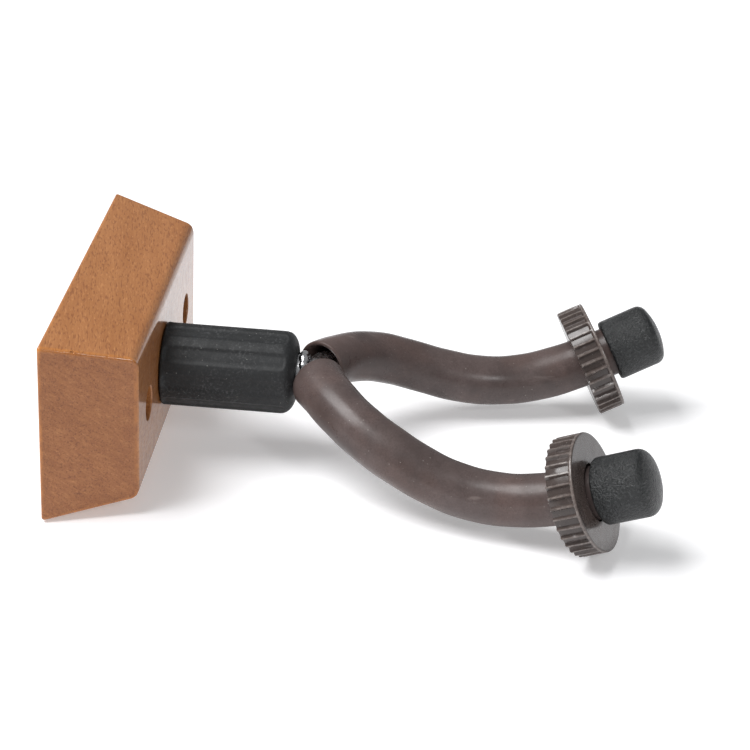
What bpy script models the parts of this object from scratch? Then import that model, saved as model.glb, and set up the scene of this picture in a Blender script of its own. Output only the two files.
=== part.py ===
"""Wall guitar hanger: a wooden base block, a fluted barrel and a padded two-arm yoke that swivels.

World frame: the wall is the plane Y = 0 and the hanger stands out from it along -Y. +Z is up and
+X points along the base block. The origin is where the swivel axis meets the wall.
All sizes below are in millimetres. "out" is a distance from the wall, so out = -Y.
"""

import math

import bmesh
import bpy
from mathutils import Matrix, Vector

MM = 0.001
GAP = 0.3                       # clearance kept between pieces that touch

# Base block: a frustum, larger on the wall side, with the swivel axis off its middle.
BLOCK_WALL_LENGTH, BLOCK_WALL_HEIGHT = 118.6, 58.2
BLOCK_FRONT_LENGTH, BLOCK_FRONT_HEIGHT = 100.8, 46.6
BLOCK_DEPTH = 28.0
BLOCK_OFFSET = 5.8              # block's middle, along X from the swivel axis
BLOCK_SOFT_EDGE = 3.2           # rounding of the two long front edges
BLOCK_EDGE = 1.2                # rounding of every other edge

# Wall screw holes, one at each side of the barrel on the block's long centre line.
SCREW_SPACING = 66.6
SCREW_HEAD_DIAMETER, SCREW_HEAD_DEPTH = 10.4, 12.0
SCREW_SHANK_DIAMETER = 6.2

# Swivel bore and the pocket for the nut at the back of the block.
BORE_RADIUS = 5.6
NUT_POCKET_RADIUS, NUT_POCKET_DEPTH = 13.0, 15.0

# Barrel: a moulded cover with shallow flutes and a rounded nose.
BARREL_RADIUS = 13.0
BARREL_END = 69.8
BARREL_NOSE_LENGTH, BARREL_MOUTH_FACE_RADIUS = 4.4, 7.2
BARREL_MOUTH_RADIUS = 6.4
BARREL_WALL = 2.6
BARREL_NECK_LENGTH, BARREL_TAPER_END = 6, 10    # back from the shoulder, where the bore widens
FLUTE_COUNT, FLUTE_DEPTH = 9, 0.7
FLUTE_SHARE = 0.62              # part of each pitch that is flute, the rest is land
FLUTE_RUN_OUT = 2.2

# Swivel: bearing tube, two flanged bushes and the yoke's stepped shank.
TUBE_OUTER, TUBE_INNER = 8.5, 6.6
BUSH_OUTER, BUSH_INNER, BUSH_FLANGE, BUSH_FLANGE_THICKNESS = 6.3, 5.3, 8.4, 1.5
BUSH_LENGTH = 8.0
SHANK_RADIUS, SHANK_SHOULDER_RADIUS = 5.0, 6.0
SHANK_BACK, SHANK_END = 1.2, 70.8
SHOULDER_AT = 64.1
THREAD_RADIUS, THREAD_ROOT_RADIUS, THREAD_PITCH, THREAD_TURNS = 4.85, 4.25, 1.5, 12

# Weld between shank and rod: outline as (radius, out).
WELD_START = 70.2
WELD_OUTLINE = [(7.5, 70.6), (8.0, 71.8), (7.3, 73.2), (5.6, 74.0)]
WELD_CORE_RADIUS, WELD_CUT_REACH = 4.0, 14.0

# Washers and lock nut in the pocket.
WASHER_RADIUS, WASHER_THICKNESS = 11.0, 1.5
SPRING_WASHER_RADIUS, SPRING_WASHER_THICKNESS = 9.0, 2.0
NUT_ACROSS_FLATS, NUT_HEIGHT, NUT_COLLAR_HEIGHT, NUT_COLLAR_RADIUS = 17.0, 8.5, 2.8, 7.6
INSERT_RADIUS = 6.3

# Yoke: one bent rod. Its right half follows a B-spline with these control points, as
# (across, out, up), and runs on straight past the last one. The left half mirrors it.
ROD_RADIUS = 4.5
ARM_CONTROL = [(0, 74, 0), (10.5, 79, 0), (26.5, 91, -4), (33.5, 109.5, -12.5), (37, 124, -17),
               (40, 139, -17), (42.5, 152, -13.5), (45, 164, -8.5), (48, 176.6, -2.5)]
ARM_REACH = 182.8               # how far out the arm's line is drawn

# What each arm carries. Lengths run back from the end of the arm's line.
LEFT, RIGHT = -1, 1
SLEEVE_OUTER, SLEEVE_INNER = 8.05, 4.8
SLEEVE_START = 6.3              # from the middle of the yoke, along the rod
SLEEVE_MOUTH_OUTER, SLEEVE_MOUTH_INNER, SLEEVE_MOUTH_DEPTH = 8.5, 7.3, 7.0
SLEEVE_MOUTH_SLANT = 1.9        # how much longer the mouth is at its front than at the barrel
SLEEVE_END, ROD_END = 9.5, 7.5
CAP_TIP = {LEFT: 2.2, RIGHT: -0.7}      # the left cap is pushed further on than the right one
RING_CENTRE = {LEFT: 25.7, RIGHT: 23.5}
CAP_RADIUS, CAP_LENGTH, CAP_DOME = 10.1, 17.5, 3.6
CAP_EDGE, CAP_KNEE = 0.8, 3.0   # roundings at the back and round the tip
CAP_TIP_OUTLINE = [(5.7, -0.9), (2.6, -0.1)]    # radius and height of the dome's last rings
CAP_BORE_RADIUS, CAP_BORE_END = 8.35, 4.6
RING_RADIUS, RING_ROOT_RADIUS, RING_BORE_RADIUS = 18.0, 17.1, 8.5
RING_THICKNESS, RING_LIP, RING_RIBS = 8.7, 0.9, 34


def clear_scene():
    for old in list(bpy.data.objects):
        bpy.data.objects.remove(old)


def make_material(name, colour, roughness, metallic=0.0):
    material = bpy.data.materials.new(name)
    material.use_nodes = True
    shader = material.node_tree.nodes["Principled BSDF"]
    shader.inputs["Base Color"].default_value = (*colour, 1.0)
    shader.inputs["Roughness"].default_value = roughness
    shader.inputs["Metallic"].default_value = metallic
    material.diffuse_color = (*colour, 1.0)
    return material


def add_object(name, bm, material=None, matrix=None, crease=35):
    """Turn a bmesh built in millimetres into an object in metres."""
    bmesh.ops.remove_doubles(bm, verts=bm.verts, dist=0.001)
    bmesh.ops.recalc_face_normals(bm, faces=bm.faces)
    bmesh.ops.scale(bm, vec=(MM, MM, MM), verts=bm.verts)
    mesh = bpy.data.meshes.new(name)
    bm.to_mesh(mesh)
    bm.free()
    mesh.shade_smooth()
    mesh.set_sharp_from_angle(angle=math.radians(crease))
    part = bpy.data.objects.new(name, mesh)
    bpy.context.collection.objects.link(part)
    if material:
        mesh.materials.append(material)
    if matrix:
        part.matrix_world = matrix
    return part


def boolean(part, cutter, operation="DIFFERENCE"):
    """Cut a part with another object, which stays out of the model."""
    cutter.hide_render = True
    cutter.display_type = "WIRE"
    modifier = part.modifiers.new(cutter.name, "BOOLEAN")
    modifier.operation = operation
    modifier.object = cutter


def turned_mesh(profile, segments, angle=360.0):
    """Spin a closed outline of (radius, out) about the swivel axis."""
    bm = bmesh.new()
    corners = [bm.verts.new((radius, -out, 0)) for radius, out in profile]
    outline = bm.faces.new(corners)
    whole = angle >= 360.0
    geometry = list(outline.verts) + list(outline.edges) + ([] if whole else [outline])
    bmesh.ops.spin(bm, geom=geometry, axis=(0, 1, 0), cent=(0, 0, 0),
                   steps=segments, angle=math.radians(angle))
    if whole:
        bmesh.ops.delete(bm, geom=[outline], context="FACES_ONLY")
        bmesh.ops.remove_doubles(bm, verts=bm.verts, dist=0.001)
        on_axis = [edge for edge in bm.edges if not edge.link_faces]
        bmesh.ops.delete(bm, geom=on_axis, context="EDGES")
    return bm


def turned(name, profile, material, segments=28, centre=(0, 0)):
    """A turned piece about a line along Y, through centre = (x, z)."""
    place = Matrix.Translation((centre[0] * MM, 0, centre[1] * MM))
    return add_object(name, turned_mesh(profile, segments), material, place)


def ring_profile(inner, outer, start, end):
    return [(inner, start), (outer, start), (outer, end), (inner, end)]


def lofted_mesh(sections, closed=False):
    """Bridge equal rings of points, and close the two ends unless the loft is itself a ring."""
    bm = bmesh.new()
    rings = [[bm.verts.new(point) for point in section] for section in sections]
    pairs = list(zip(rings, rings[1:]))
    if closed:
        pairs.append((rings[-1], rings[0]))
    for low, high in pairs:
        for index, start in enumerate(low):
            following = (index + 1) % len(low)
            bm.faces.new((start, low[following], high[following], high[index]))
    if not closed:
        bm.faces.new(rings[0])
        bm.faces.new(rings[-1])
    return bm


def circle(radius, count, height=0.0):
    turns = [2 * math.pi * step / count for step in range(count)]
    return [Vector((radius * math.cos(turn), radius * math.sin(turn), height)) for turn in turns]


# The arm's centre line.

def spline_point(control, position):
    """A point on the uniform cubic B-spline, with position counted in control points."""
    index = min(int(position), len(control) - 4)
    t = position - index
    weights = ((1 - t) ** 3, 3 * t ** 3 - 6 * t * t + 4, -3 * t ** 3 + 3 * t * t + 3 * t + 1, t ** 3)
    return sum((weight * control[index + step] for step, weight in enumerate(weights)), Vector()) / 6


def arm_route():
    """Finely spaced points on the right arm's line, from the middle of the yoke."""
    control = [Vector((across, -out, up)) for across, out, up in ARM_CONTROL]
    step = control[-1] - control[-2]
    control.append(control[-1] + step)
    mirrored = Vector((-control[1].x, control[1].y, control[1].z))
    control.insert(0, mirrored)
    fine = 40
    count = (len(control) - 3) * fine
    route = [spline_point(control, index / fine) for index in range(count + 1)]
    heading = step.normalized()
    end = route[-1] + heading * ((ARM_REACH + route[-1].y) / -heading.y)
    return route + [end]


class Arm:
    """The centre line of one arm, measured along its length."""

    def __init__(self, side):
        self.side = side
        self.points = [Vector((side * point.x, point.y, point.z)) for point in arm_route()]
        self.lengths = [0.0]
        for before, after in zip(self.points, self.points[1:]):
            self.lengths.append(self.lengths[-1] + (after - before).length)
        self.length = self.lengths[-1]
        self.heading = (self.points[-1] - self.points[-2]).normalized()

    def at(self, distance):
        for index in range(1, len(self.lengths)):
            if distance <= self.lengths[index] or index == len(self.lengths) - 1:
                span = self.lengths[index] - self.lengths[index - 1]
                share = (distance - self.lengths[index - 1]) / span
                return self.points[index - 1].lerp(self.points[index], share)

    def end_frame(self, distance):
        """Placement with local +Z along the arm's end, at a distance back from the end."""
        rotation = self.heading.to_track_quat("Z", "Y").to_matrix().to_4x4()
        return Matrix.Translation(self.at(self.length - distance) * MM) @ rotation


def swept_sections(stations, radii, segments):
    """Rings of points square to a line of stations, with no twist between them."""
    sections = []
    normal = Vector((0, 0, 1))
    for index, station in enumerate(stations):
        before = stations[max(index - 1, 0)]
        after = stations[min(index + 1, len(stations) - 1)]
        heading = (after - before).normalized()
        normal = (normal - heading * normal.dot(heading)).normalized()
        side = heading.cross(normal)
        turns = [2 * math.pi * step / segments for step in range(segments)]
        sections.append([station + radii[index] * (math.cos(turn) * side + math.sin(turn) * normal)
                         for turn in turns])
    return sections


def spaced(start, end, step):
    count = max(1, round((end - start) / step))
    return [start + (end - start) * index / count for index in range(count + 1)]


# The pieces.

def base_block(wood):
    centre = BLOCK_OFFSET
    sections = []
    for length, height, out in ((BLOCK_WALL_LENGTH, BLOCK_WALL_HEIGHT, 0),
                                (BLOCK_FRONT_LENGTH, BLOCK_FRONT_HEIGHT, BLOCK_DEPTH)):
        half_length, half_height = length / 2, height / 2
        sections.append([(centre - half_length, -out, -half_height),
                         (centre + half_length, -out, -half_height),
                         (centre + half_length, -out, half_height),
                         (centre - half_length, -out, half_height)])
    bm = lofted_mesh(sections)
    weights = bm.edges.layers.float.new("bevel_weight_edge")
    for edge in bm.edges:
        ends = [vertex.co for vertex in edge.verts]
        at_front = all(abs(end[1] + BLOCK_DEPTH) < 0.01 for end in ends)
        lengthwise = abs(ends[0][0] - ends[1][0]) > BLOCK_FRONT_LENGTH / 2
        edge[weights] = 1.0 if at_front and lengthwise else BLOCK_EDGE / BLOCK_SOFT_EDGE
    block = add_object("base_block", bm, wood, crease=30)
    bevel = block.modifiers.new("rounded edges", "BEVEL")
    bevel.limit_method = "WEIGHT"
    bevel.width = BLOCK_SOFT_EDGE * MM
    bevel.segments = 3
    past = 2.0
    head_floor = BLOCK_DEPTH - SCREW_HEAD_DEPTH
    screw_hole = [(0, -past), (SCREW_SHANK_DIAMETER / 2, -past), (SCREW_SHANK_DIAMETER / 2, head_floor),
                  (SCREW_HEAD_DIAMETER / 2, head_floor), (SCREW_HEAD_DIAMETER / 2, BLOCK_DEPTH + past),
                  (0, BLOCK_DEPTH + past)]
    bore = [(0, -past), (NUT_POCKET_RADIUS, -past), (NUT_POCKET_RADIUS, NUT_POCKET_DEPTH),
            (BORE_RADIUS, NUT_POCKET_DEPTH), (BORE_RADIUS, BLOCK_DEPTH + past), (0, BLOCK_DEPTH + past)]
    boolean(block, turned("cut_swivel_bore", bore, None, 32))
    for side, name in ((LEFT, "left"), (RIGHT, "right")):
        place = (centre + side * SCREW_SPACING / 2, 0)
        boolean(block, turned("cut_screw_" + name, screw_hole, None, 24, place))


def barrel_radius(turn, out):
    """Outer radius of the barrel at an angle and a distance out, with the flutes cut in."""
    nose_start = BARREL_END - BARREL_NOSE_LENGTH
    back = BLOCK_DEPTH + GAP
    if out > nose_start:
        share = (out - nose_start) / BARREL_NOSE_LENGTH
        drop = BARREL_RADIUS - BARREL_MOUTH_FACE_RADIUS
        return BARREL_MOUTH_FACE_RADIUS + drop * math.sqrt(max(0.0, 1 - share * share))
    phase = (turn * FLUTE_COUNT / (2 * math.pi)) % 1.0
    across = abs(phase - 0.5) / (FLUTE_SHARE / 2)
    along = min(1.0, (nose_start - out) / FLUTE_RUN_OUT, (out - back) / FLUTE_RUN_OUT)
    if across >= 1 or along <= 0:
        return BARREL_RADIUS
    return BARREL_RADIUS - FLUTE_DEPTH * (1 - across ** 4) * math.sin(along * math.pi / 2)


def barrel_cover(rubber):
    back = BLOCK_DEPTH + GAP
    nose_start = BARREL_END - BARREL_NOSE_LENGTH
    outer = [back, back + FLUTE_RUN_OUT / 2, back + FLUTE_RUN_OUT, (back + nose_start) / 2,
             nose_start - FLUTE_RUN_OUT, nose_start - FLUTE_RUN_OUT / 2, nose_start]
    outer += [nose_start + BARREL_NOSE_LENGTH * math.sin(math.radians(angle)) for angle in (30, 60, 90)]
    inner = [(BARREL_MOUTH_RADIUS, BARREL_END), (BARREL_MOUTH_RADIUS, SHOULDER_AT),
             (TUBE_OUTER + GAP, SHOULDER_AT), (TUBE_OUTER + GAP, SHOULDER_AT - BARREL_NECK_LENGTH),
             (BARREL_RADIUS - BARREL_WALL, SHOULDER_AT - BARREL_TAPER_END),
             (BARREL_RADIUS - BARREL_WALL, back)]
    count = FLUTE_COUNT * 6
    turns = [2 * math.pi * step / count for step in range(count)]
    rings = [(out, [barrel_radius(turn, out) for turn in turns]) for out in outer]
    rings += [(out, [radius] * count) for radius, out in inner]
    sections = [[(radius * math.cos(turn), -out, radius * math.sin(turn))
                 for turn, radius in zip(turns, radii)] for out, radii in rings]
    add_object("barrel_cover", lofted_mesh(sections, closed=True), rubber, crease=50)


def swivel_bearing(steel, nylon):
    back = BLOCK_DEPTH + GAP
    tube_back = back + BUSH_FLANGE_THICKNESS + GAP
    front_flange = SHOULDER_AT - GAP - BUSH_FLANGE_THICKNESS
    turned("bearing_tube", ring_profile(TUBE_INNER, TUBE_OUTER, tube_back, front_flange - GAP), steel)
    rear = [(BUSH_INNER, back), (BUSH_FLANGE, back), (BUSH_FLANGE, back + BUSH_FLANGE_THICKNESS),
            (BUSH_OUTER, back + BUSH_FLANGE_THICKNESS), (BUSH_OUTER, back + BUSH_LENGTH),
            (BUSH_INNER, back + BUSH_LENGTH)]
    turned("rear_bush", rear, nylon)
    middle = (back + SHOULDER_AT - GAP) / 2
    turned("front_bush", [(radius, 2 * middle - out) for radius, out in rear], nylon)


def yoke_shank(steel):
    profile = [(0, SHANK_BACK), (THREAD_ROOT_RADIUS, SHANK_BACK)]
    for turn in range(THREAD_TURNS):
        start = SHANK_BACK + 0.4 + turn * THREAD_PITCH
        profile += [(THREAD_ROOT_RADIUS, start), (THREAD_RADIUS, start + THREAD_PITCH / 2)]
    thread_end = SHANK_BACK + 1 + THREAD_TURNS * THREAD_PITCH
    profile += [(THREAD_ROOT_RADIUS, thread_end), (SHANK_RADIUS, thread_end + 0.8),
                (SHANK_RADIUS, SHOULDER_AT), (SHANK_SHOULDER_RADIUS, SHOULDER_AT),
                (SHANK_SHOULDER_RADIUS, SHANK_END), (0, SHANK_END)]
    turned("yoke_shank", profile, steel, 16)


def yoke_rod(steel):
    right = Arm(RIGHT)
    distances = spaced(0, right.length - ROD_END, 5.5)
    stations = [right.at(distance) for distance in distances]
    mirrored = [Vector((-point.x, point.y, point.z)) for point in reversed(stations[1:])]
    stations = mirrored + stations
    sections = swept_sections(stations, [ROD_RADIUS] * len(stations), 12)
    add_object("yoke_rod", lofted_mesh(sections), steel, crease=60)


def weld_bead(steel):
    """The fillet of weld round the joint of shank and rod."""
    around = SHANK_SHOULDER_RADIUS + GAP
    core = [(WELD_CORE_RADIUS, WELD_OUTLINE[-1][1]), (WELD_CORE_RADIUS, SHANK_END + GAP),
            (around, SHANK_END + GAP)]
    bead = turned("weld_bead", [(around, WELD_START)] + WELD_OUTLINE + core, steel, 24)
    stations = [Arm(RIGHT).at(distance) for distance in spaced(0, WELD_CUT_REACH, 2)]
    stations = [Vector((-point.x, point.y, point.z)) for point in reversed(stations[1:])] + stations
    sections = swept_sections(stations, [ROD_RADIUS + GAP] * len(stations), 16)
    boolean(bead, add_object("cut_weld_rod", lofted_mesh(sections)))


def clamping_hardware(steel, nylon):
    floor = NUT_POCKET_DEPTH - GAP
    bore = SHANK_RADIUS + GAP
    turned("flat_washer", ring_profile(bore, WASHER_RADIUS, floor - WASHER_THICKNESS, floor), steel)
    top = floor - WASHER_THICKNESS - GAP
    split = ring_profile(bore, SPRING_WASHER_RADIUS, top - SPRING_WASHER_THICKNESS, top)
    add_object("spring_washer", turned_mesh(split, 24, 345.0), steel)
    nut_top = top - SPRING_WASHER_THICKNESS - GAP
    nut_end = nut_top - NUT_HEIGHT
    seat = nut_end + NUT_COLLAR_HEIGHT
    corner = NUT_ACROSS_FLATS / math.sqrt(3)
    blank = [(THREAD_RADIUS + GAP, nut_top), (THREAD_RADIUS + GAP, seat), (INSERT_RADIUS + GAP, seat),
             (INSERT_RADIUS + GAP, nut_end), (NUT_COLLAR_RADIUS, nut_end), (NUT_COLLAR_RADIUS, seat - 0.4),
             (NUT_ACROSS_FLATS / 2, seat), (corner, seat + 1), (corner, nut_top - 0.8),
             (NUT_ACROSS_FLATS / 2, nut_top)]
    nut = turned("lock_nut", blank, steel, 36)
    low, high = nut_end - 1, nut_top + 1
    hexagon = turned_mesh([(0, low), (corner, low), (corner, high), (0, high)], 6)
    boolean(nut, add_object("cut_hexagon", hexagon), "INTERSECT")
    turned("nut_insert", ring_profile(THREAD_RADIUS + GAP, INSERT_RADIUS, nut_end + 0.4, seat - GAP), nylon)


def slant_mouth(sections, stations, heading, bell):
    """Draw the mouth's front side back over the rod, while the side by the barrel stays."""
    wallward = Vector((0, 1, 0))
    wallward = (wallward - heading * wallward.dot(heading)).normalized()
    for section, station, share in zip(sections, stations, bell):
        for point in section:
            lead = (1 - (point - station).dot(wallward) / SLEEVE_MOUTH_OUTER) / 2
            point -= heading * SLEEVE_MOUTH_SLANT * share * lead


def arm_sleeve(name, arm, rubber):
    """A thick tube over the rod, open and slightly belled where it meets the yoke's middle."""
    start, end = SLEEVE_START, arm.length - SLEEVE_END
    distances = [start, start + SLEEVE_MOUTH_DEPTH / 2] + spaced(start + SLEEVE_MOUTH_DEPTH, end, 7)
    stations = [arm.at(distance) for distance in distances]
    bell = [max(0.0, 1 - (distance - start) / SLEEVE_MOUTH_DEPTH) for distance in distances]
    outer = [SLEEVE_OUTER + (SLEEVE_MOUTH_OUTER - SLEEVE_OUTER) * share for share in bell]
    inner = [SLEEVE_INNER + (SLEEVE_MOUTH_INNER - SLEEVE_INNER) * share for share in bell]
    outside = swept_sections(stations, outer, 16)
    inside = swept_sections(stations, inner, 16)
    heading = (stations[1] - stations[0]).normalized()
    for sections in (outside, inside):
        slant_mouth(sections, stations, heading, bell)
    add_object(name, lofted_mesh(outside + inside[::-1], closed=True), rubber, crease=60)


def ribbed_ring(name, arm, rubber):
    """A stop disc with thin ribs round its rim and a smooth lip at the front."""
    half = RING_THICKNESS / 2
    count = RING_RIBS * 2
    levels = [-half, half - RING_LIP - 0.3]
    turns = [2 * math.pi * step / count for step in range(count)]
    radii = [RING_RADIUS if step % 2 == 0 else RING_ROOT_RADIUS for step in range(count)]
    sections = [[(radius * math.cos(turn), radius * math.sin(turn), level)
                 for radius, turn in zip(radii, turns)] for level in levels]
    sections += [circle(RING_RADIUS, count, half - RING_LIP), circle(RING_RADIUS, count, half - 0.4),
                 circle(RING_RADIUS - 0.4, count, half)]
    sections += [circle(RING_BORE_RADIUS, count, half), circle(RING_BORE_RADIUS, count, -half)]
    add_object(name, lofted_mesh(sections, closed=True), rubber, arm.end_frame(RING_CENTRE[arm.side]))


def end_cap(name, arm, rubber):
    """A push-on cap with a domed tip. Its local origin is the tip's middle, +Z outwards."""
    knee_start = -CAP_DOME - 1.0
    outer = [(CAP_RADIUS - CAP_EDGE, -CAP_LENGTH), (CAP_RADIUS, -CAP_LENGTH + CAP_EDGE),
             (CAP_RADIUS, knee_start)]
    outer += [(CAP_RADIUS - CAP_KNEE * (1 - math.cos(math.radians(angle))),
               knee_start + CAP_KNEE * math.sin(math.radians(angle))) for angle in (30, 60)]
    outer += CAP_TIP_OUTLINE
    inner = [(CAP_BORE_RADIUS, -CAP_BORE_END), (CAP_BORE_RADIUS, -CAP_LENGTH)]
    profile = outer + [(0, 0), (0, -CAP_BORE_END)] + inner
    bm = turned_mesh([(radius, height) for radius, height in profile], 32)
    bmesh.ops.rotate(bm, cent=(0, 0, 0), matrix=Matrix.Rotation(math.radians(-90), 3, "X"), verts=bm.verts)
    add_object(name, bm, rubber, arm.end_frame(CAP_TIP[arm.side]), crease=40)


def main():
    clear_scene()
    wood = make_material("lacquered beech", (0.42, 0.20, 0.075), 0.35)
    black = make_material("black rubber", (0.045, 0.05, 0.05), 0.55)
    brown = make_material("brown rubber", (0.125, 0.095, 0.088), 0.5)
    plated = make_material("plated steel", (0.72, 0.72, 0.72), 0.25, 1.0)
    nylon = make_material("white nylon", (0.8, 0.8, 0.76), 0.5)
    base_block(wood)
    barrel_cover(black)
    swivel_bearing(plated, nylon)
    clamping_hardware(plated, nylon)
    yoke_shank(plated)
    yoke_rod(plated)
    weld_bead(plated)
    for side, name in ((LEFT, "left"), (RIGHT, "right")):
        arm = Arm(side)
        arm_sleeve("sleeve_" + name, arm, brown)
        ribbed_ring("ring_" + name, arm, brown)
        end_cap("cap_" + name, arm, black)


main()
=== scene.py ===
"""Looks of the wall guitar hanger: detailed pieces and procedural materials round the CAD frame.

Sizes are in millimetres, scaled by MM to metres. "out" is a distance from the wall, so out = -Y.
"""
import math

import bmesh
import bpy
from mathutils import Matrix, Vector


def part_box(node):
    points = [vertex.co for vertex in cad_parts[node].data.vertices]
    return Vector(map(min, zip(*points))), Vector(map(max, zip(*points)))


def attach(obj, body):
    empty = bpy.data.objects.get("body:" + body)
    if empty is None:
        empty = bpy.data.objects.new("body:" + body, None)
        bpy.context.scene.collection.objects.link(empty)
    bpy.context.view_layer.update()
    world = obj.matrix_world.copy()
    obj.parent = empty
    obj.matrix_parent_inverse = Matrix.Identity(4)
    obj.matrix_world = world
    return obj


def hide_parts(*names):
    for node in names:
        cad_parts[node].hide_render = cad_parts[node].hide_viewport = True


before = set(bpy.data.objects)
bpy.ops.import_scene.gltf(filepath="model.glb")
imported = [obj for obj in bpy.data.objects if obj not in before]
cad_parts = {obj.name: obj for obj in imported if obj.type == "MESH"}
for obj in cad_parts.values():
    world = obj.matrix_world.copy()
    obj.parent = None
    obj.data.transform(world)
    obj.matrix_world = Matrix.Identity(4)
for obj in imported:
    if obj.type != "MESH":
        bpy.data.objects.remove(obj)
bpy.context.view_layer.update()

MM = 0.001
STEEL_SEGMENTS = 96


# Mesh building.

def add_piece(name, bm, material, crease=35, matrix=None):
    """Turn a bmesh built in millimetres into a smooth shaded piece in metres."""
    bmesh.ops.remove_doubles(bm, verts=bm.verts, dist=0.001)
    bmesh.ops.recalc_face_normals(bm, faces=bm.faces)
    bmesh.ops.scale(bm, vec=(MM, MM, MM), verts=bm.verts)
    mesh = bpy.data.meshes.new(name)
    bm.to_mesh(mesh)
    bm.free()
    mesh.shade_smooth()
    mesh.set_sharp_from_angle(angle=math.radians(crease))
    mesh.materials.append(material)
    piece = bpy.data.objects.new(name, mesh)
    if matrix:
        piece.matrix_world = matrix
    bpy.context.collection.objects.link(piece)
    return piece


def loft(sections, closed=False):
    """Bridge equal rings of points. A closed loft is itself a ring, an open one gets end faces."""
    bm = bmesh.new()
    rings = [[bm.verts.new(point) for point in section] for section in sections]
    pairs = list(zip(rings, rings[1:]))
    if closed:
        pairs.append((rings[-1], rings[0]))
    for low, high in pairs:
        for index, start in enumerate(low):
            following = (index + 1) % len(low)
            bm.faces.new((start, low[following], high[following], high[index]))
    if not closed:
        bm.faces.new(rings[0])
        bm.faces.new(rings[-1])
    return bm


def turned_sections(profile, segments):
    """Rings of points about the swivel axis for an outline of (radius, out)."""
    turns = [2 * math.pi * step / segments for step in range(segments)]
    return [[(radius * math.cos(turn), -out, radius * math.sin(turn)) for turn in turns]
            for radius, out in profile]


def hollow_turned(profile, segments=STEEL_SEGMENTS):
    return loft(turned_sections(profile, segments), closed=True)


def solid_turned(profile, segments=STEEL_SEGMENTS):
    return loft(turned_sections(profile, segments))


def soft_corners(profile, radius):
    """Round every corner of a closed outline by replacing it with a short curve."""
    steps = 4
    rounded = []
    for index, corner in enumerate(profile):
        here = Vector(corner)
        before, after = Vector(profile[index - 1]), Vector(profile[(index + 1) % len(profile)])
        reach = min(radius, (before - here).length * 0.45, (after - here).length * 0.45)
        start = here + (before - here).normalized() * reach
        end = here + (after - here).normalized() * reach
        for step in range(steps + 1):
            t = step / steps
            point = start * (1 - t) ** 2 + here * 2 * t * (1 - t) + end * t * t
            rounded.append((point.x, point.y))
    return rounded


def swept(stations, radii, segments):
    """Rings of points square to a line of stations, with no twist between them."""
    sections = []
    normal = Vector((0, 0, 1))
    for index, station in enumerate(stations):
        before = stations[max(index - 1, 0)]
        after = stations[min(index + 1, len(stations) - 1)]
        heading = (after - before).normalized()
        normal = (normal - heading * normal.dot(heading)).normalized()
        side = heading.cross(normal)
        turns = [2 * math.pi * step / segments for step in range(segments)]
        sections.append([station + radii[index] * (math.cos(turn) * side + math.sin(turn) * normal)
                         for turn in turns])
    return sections


def spaced(start, end, step):
    count = max(1, round((end - start) / step))
    return [start + (end - start) * index / count for index in range(count + 1)]


# The yoke's centre line, as the CAD bends it.

ARM_CONTROL = [(0, 74, 0), (10.5, 79, 0), (26.5, 91, -4), (33.5, 109.5, -12.5), (37, 124, -17),
               (40, 139, -17), (42.5, 152, -13.5), (45, 164, -8.5), (48, 176.6, -2.5)]
ARM_REACH = 182.8
LEFT, RIGHT = -1, 1
SLEEVE_START, SLEEVE_END, ROD_END = 6.3, 9.5, 7.5
CAP_TIP = {LEFT: 2.2, RIGHT: -0.7}
RING_CENTRE = {LEFT: 25.7, RIGHT: 23.5}


def spline_point(control, position):
    index = min(int(position), len(control) - 4)
    t = position - index
    weights = ((1 - t) ** 3, 3 * t ** 3 - 6 * t * t + 4, -3 * t ** 3 + 3 * t * t + 3 * t + 1, t ** 3)
    return sum((weight * control[index + step] for step, weight in enumerate(weights)), Vector()) / 6


def arm_route():
    """Finely spaced points on the right arm's line, from the middle of the yoke."""
    control = [Vector((across, -out, up)) for across, out, up in ARM_CONTROL]
    step = control[-1] - control[-2]
    control.append(control[-1] + step)
    control.insert(0, Vector((-control[1].x, control[1].y, control[1].z)))
    fine = 40
    count = (len(control) - 3) * fine
    route = [spline_point(control, index / fine) for index in range(count + 1)]
    heading = step.normalized()
    return route + [route[-1] + heading * ((ARM_REACH + route[-1].y) / -heading.y)]


class Arm:
    """The centre line of one arm, measured along its length."""

    def __init__(self, side):
        self.points = [Vector((side * point.x, point.y, point.z)) for point in arm_route()]
        self.lengths = [0.0]
        for before, after in zip(self.points, self.points[1:]):
            self.lengths.append(self.lengths[-1] + (after - before).length)
        self.length = self.lengths[-1]
        self.heading = (self.points[-1] - self.points[-2]).normalized()

    def at(self, distance):
        for index in range(1, len(self.lengths)):
            if distance <= self.lengths[index] or index == len(self.lengths) - 1:
                span = self.lengths[index] - self.lengths[index - 1]
                share = (distance - self.lengths[index - 1]) / span
                return self.points[index - 1].lerp(self.points[index], share)

    def end_frame(self, from_end):
        """Placement in metres with local +Z along the arm's end, from_end back from it."""
        rotation = self.heading.to_track_quat("Z", "Y").to_matrix().to_4x4()
        return Matrix.Translation(self.at(self.length - from_end) * MM) @ rotation


# Materials.

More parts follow.
